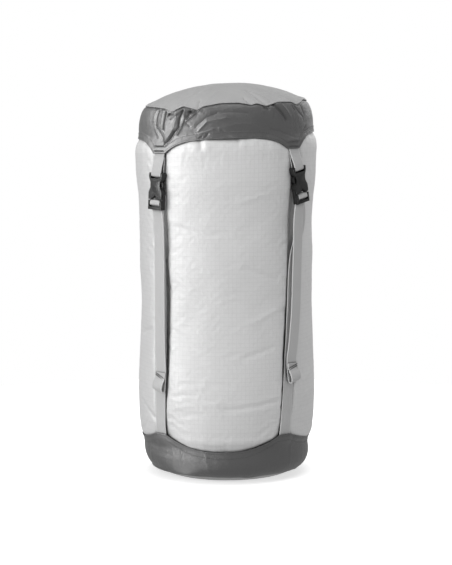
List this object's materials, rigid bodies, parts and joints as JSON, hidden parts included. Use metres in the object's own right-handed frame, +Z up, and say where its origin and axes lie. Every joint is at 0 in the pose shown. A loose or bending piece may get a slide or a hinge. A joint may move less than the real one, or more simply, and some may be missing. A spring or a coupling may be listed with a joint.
{
  "type": "compression sack",
  "caption": "Stuffed cylindrical compression sack with a domed buckled lid, webbing compression straps with side-release buckles, a cinched drawcord mouth and a flat round base.",
  "frame": {"origin": "on the floor, under the middle of the round base", "axes": "+Z up along the sack's axis; -Y is the front, between the two front straps; +X is to the right seen from the front"},
  "size_m": [0.2148, 0.2158, 0.467],
  "materials": {
    "ripstop_body": "white coated ripstop nylon with a fine square grid",
    "ring_cloth": "dark grey satin nylon",
    "end_panel_cloth": "mid grey plain nylon",
    "binding_tape": "dark grey grosgrain",
    "mouth_cloth": "pale grey light nylon",
    "webbing": "light grey flat woven nylon webbing",
    "buckle_plastic": "black acetal with a fine satin texture",
    "cord_lock_plastic": "black moulded plastic",
    "drawcord_braid": "black braided polyester cord",
    "spring_steel": "bright spring wire"
  },
  "bodies": {
    "sack": {"base_panel": "end_panel_cloth", "base_ring": "ring_cloth", "base_binding": "binding_tape", "sack_wall": "ripstop_body", "wall_seam_tape": "ripstop_body", "base_strap_front_left": "webbing", "base_strap_front_right": "webbing", "base_strap_back_left": "webbing", "base_strap_back_right": "webbing"},
    "mouth": {"mouth_collar": "mouth_cloth", "drawcord_channel": "mouth_cloth", "drawcord": "drawcord_braid"},
    "cord_lock": {"cord_lock_barrel": "cord_lock_plastic", "cord_lock_spring": "spring_steel"},
    "cord_lock_button": {"cord_lock_plunger": "cord_lock_plastic"},
    "lid": {"lid_panel": "end_panel_cloth", "lid_ring": "ring_cloth", "lid_binding": "binding_tape", "lid_loop_front_left": "webbing", "lid_loop_front_right": "webbing", "lid_loop_back_left": "webbing", "lid_loop_back_right": "webbing", "buckle_socket_front_left": "buckle_plastic", "buckle_socket_front_right": "buckle_plastic", "buckle_socket_back_left": "buckle_plastic", "buckle_socket_back_right": "buckle_plastic"},
    "plug_front_left": {"buckle_plug_front_left": "buckle_plastic", "strap_tail_front_left": "webbing"},
    "arm_left_front_left": {"buckle_arm_left_front_left": "buckle_plastic"},
    "arm_right_front_left": {"buckle_arm_right_front_left": "buckle_plastic"},
    "plug_front_right": {"buckle_plug_front_right": "buckle_plastic", "strap_tail_front_right": "webbing"},
    "arm_left_front_right": {"buckle_arm_left_front_right": "buckle_plastic"},
    "arm_right_front_right": {"buckle_arm_right_front_right": "buckle_plastic"},
    "plug_back_left": {"buckle_plug_back_left": "buckle_plastic", "strap_tail_back_left": "webbing"},
    "arm_left_back_left": {"buckle_arm_left_back_left": "buckle_plastic"},
    "arm_right_back_left": {"buckle_arm_right_back_left": "buckle_plastic"},
    "plug_back_right": {"buckle_plug_back_right": "buckle_plastic", "strap_tail_back_right": "webbing"},
    "arm_left_back_right": {"buckle_arm_left_back_right": "buckle_plastic"},
    "arm_right_back_right": {"buckle_arm_right_back_right": "buckle_plastic"}
  },
  "joints": [
    {"name": "tighten_front_left", "type": "slide", "parent": "sack", "child": "plug_front_left", "axis": [0, 0, 1], "range_m": [-0.1, 0], "deforming": ["sack_wall", "wall_seam_tape", "base_strap_front_left", "base_strap_front_right", "base_strap_back_left", "base_strap_back_right"]},
    {"name": "tighten_front_right", "type": "slide", "parent": "sack", "child": "plug_front_right", "axis": [0, 0, 1], "range_m": [-0.1, 0]},
    {"name": "tighten_back_left", "type": "slide", "parent": "sack", "child": "plug_back_left", "axis": [0, 0, 1], "range_m": [-0.1, 0]},
    {"name": "tighten_back_right", "type": "slide", "parent": "sack", "child": "plug_back_right", "axis": [0, 0, 1], "range_m": [-0.1, 0]},
    {"name": "mouth_sink", "type": "slide", "parent": "sack", "child": "mouth", "axis": [0, 0, 1], "range_m": [-0.1, 0]},
    {"name": "lid_lift", "type": "slide", "parent": "plug_front_left", "child": "lid", "axis": [0, 0, 1], "range_m": [0, 0.24]},
    {"name": "cord_lock_slide", "type": "slide", "parent": "mouth", "child": "cord_lock", "axis": [0, -1, 0], "range_m": [0, 0.009]},
    {"name": "cord_lock_press", "type": "slide", "parent": "cord_lock", "child": "cord_lock_button", "axis": [-1, 0, 0], "range_m": [0, 0.0024], "stiffness_N_per_m": 900, "springref_m": -0.001},
    {"name": "pinch_left_front_left", "type": "hinge", "parent": "plug_front_left", "child": "arm_left_front_left", "pos_m": [-0.0831, -0.07488, 0.33751], "axis": [-0.7059, -0.7083, 0], "range_deg": [-6, 0], "stiffness_Nm_per_rad": 0.5},
    {"name": "pinch_right_front_left", "type": "hinge", "parent": "plug_front_left", "child": "arm_right_front_left", "pos_m": [-0.07489, -0.08306, 0.3369], "axis": [-0.7059, -0.7083, 0], "range_deg": [0, 6], "stiffness_Nm_per_rad": 0.5},
    {"name": "pinch_left_front_right", "type": "hinge", "parent": "plug_front_right", "child": "arm_left_front_right", "pos_m": [0.07972, -0.0784, 0.34317], "axis": [0.7431, -0.6691, 0], "range_deg": [-6, 0], "stiffness_Nm_per_rad": 0.5},
    {"name": "pinch_right_front_right", "type": "hinge", "parent": "plug_front_right", "child": "arm_right_front_right", "pos_m": [0.08734, -0.06994, 0.34538], "axis": [0.7431, -0.6691, 0], "range_deg": [0, 6], "stiffness_Nm_per_rad": 0.5},
    {"name": "pinch_left_back_left", "type": "hinge", "parent": "plug_back_left", "child": "arm_left_back_left", "pos_m": [-0.07676, 0.08134, 0.3369], "axis": [-0.7218, 0.6921, 0], "range_deg": [-6, 0], "stiffness_Nm_per_rad": 0.5},
    {"name": "pinch_right_back_left", "type": "hinge", "parent": "plug_back_left", "child": "arm_right_back_left", "pos_m": [-0.08478, 0.07298, 0.33751], "axis": [-0.7218, 0.6921, 0], "range_deg": [0, 6], "stiffness_Nm_per_rad": 0.5},
    {"name": "pinch_left_back_right", "type": "hinge", "parent": "plug_back_right", "child": "arm_left_back_right", "pos_m": [0.08447, 0.07332, 0.34441], "axis": [0.7193, 0.6947, 0], "range_deg": [-6, 0], "stiffness_Nm_per_rad": 0.5},
    {"name": "pinch_right_back_right", "type": "hinge", "parent": "plug_back_right", "child": "arm_right_back_right", "pos_m": [0.07642, 0.08166, 0.344], "axis": [0.7193, 0.6947, 0], "range_deg": [0, 6], "stiffness_Nm_per_rad": 0.5}
  ],
  "couplings": [
    {"joint": "tighten_front_right", "follows": "tighten_front_left", "ratio": 1},
    {"joint": "tighten_back_left", "follows": "tighten_front_left", "ratio": 1},
    {"joint": "tighten_back_right", "follows": "tighten_front_left", "ratio": 1},
    {"joint": "mouth_sink", "follows": "tighten_front_left", "ratio": 1},
    {"joint": "pinch_right_front_left", "follows": "pinch_left_front_left", "ratio": -1},
    {"joint": "pinch_right_front_right", "follows": "pinch_left_front_right", "ratio": -1},
    {"joint": "pinch_right_back_left", "follows": "pinch_left_back_left", "ratio": -1},
    {"joint": "pinch_right_back_right", "follows": "pinch_left_back_right", "ratio": -1}
  ]
}
